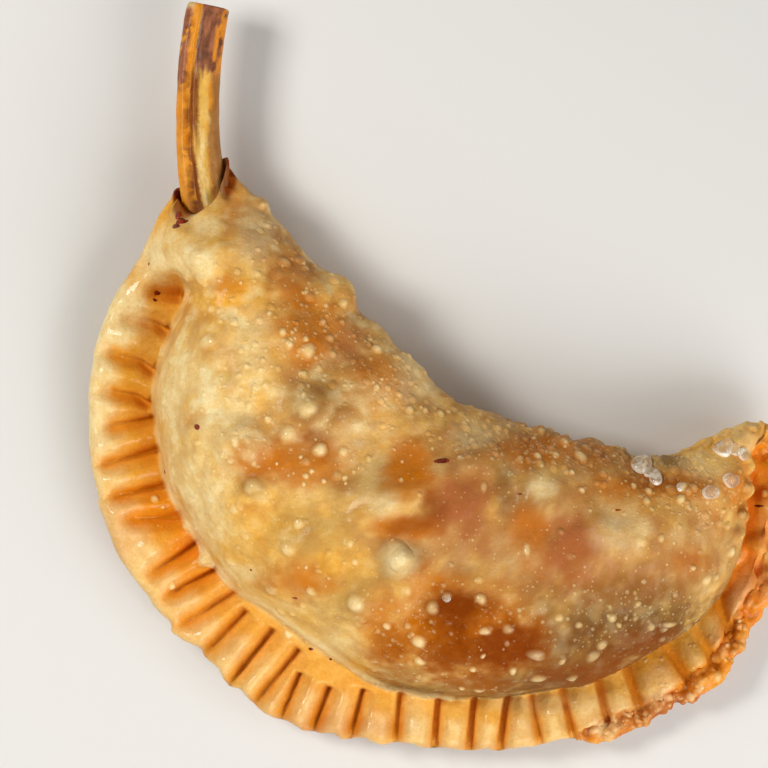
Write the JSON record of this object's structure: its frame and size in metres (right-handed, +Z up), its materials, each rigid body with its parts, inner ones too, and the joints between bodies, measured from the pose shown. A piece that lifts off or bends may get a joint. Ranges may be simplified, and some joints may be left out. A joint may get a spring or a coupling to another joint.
{
  "type": "lamb empanada",
  "caption": "Fried lamb empanada: bent half-moon pocket of dough, fork-crimped outer edge, blistered crust, rib bone standing out of one corner.",
  "frame": {"origin": "centre of the bounding box in plan, at the height of the surface that the empanada lies on", "axes": "+Z up through its thickness; +Y from the crimped edge towards the bone's free end; +X from the bone's corner towards the other tip"},
  "size_m": [0.146, 0.1546, 0.0386],
  "materials": {
    "fried_dough": "fried wheat dough, blistered and browned, lightly oiled",
    "cooked_bone": "roasted rib bone, cream to red-brown, satin"
  },
  "bodies": {
    "root": {"pastry": "fried_dough", "rib_bone": "cooked_bone"}
  },
  "joints": []
}
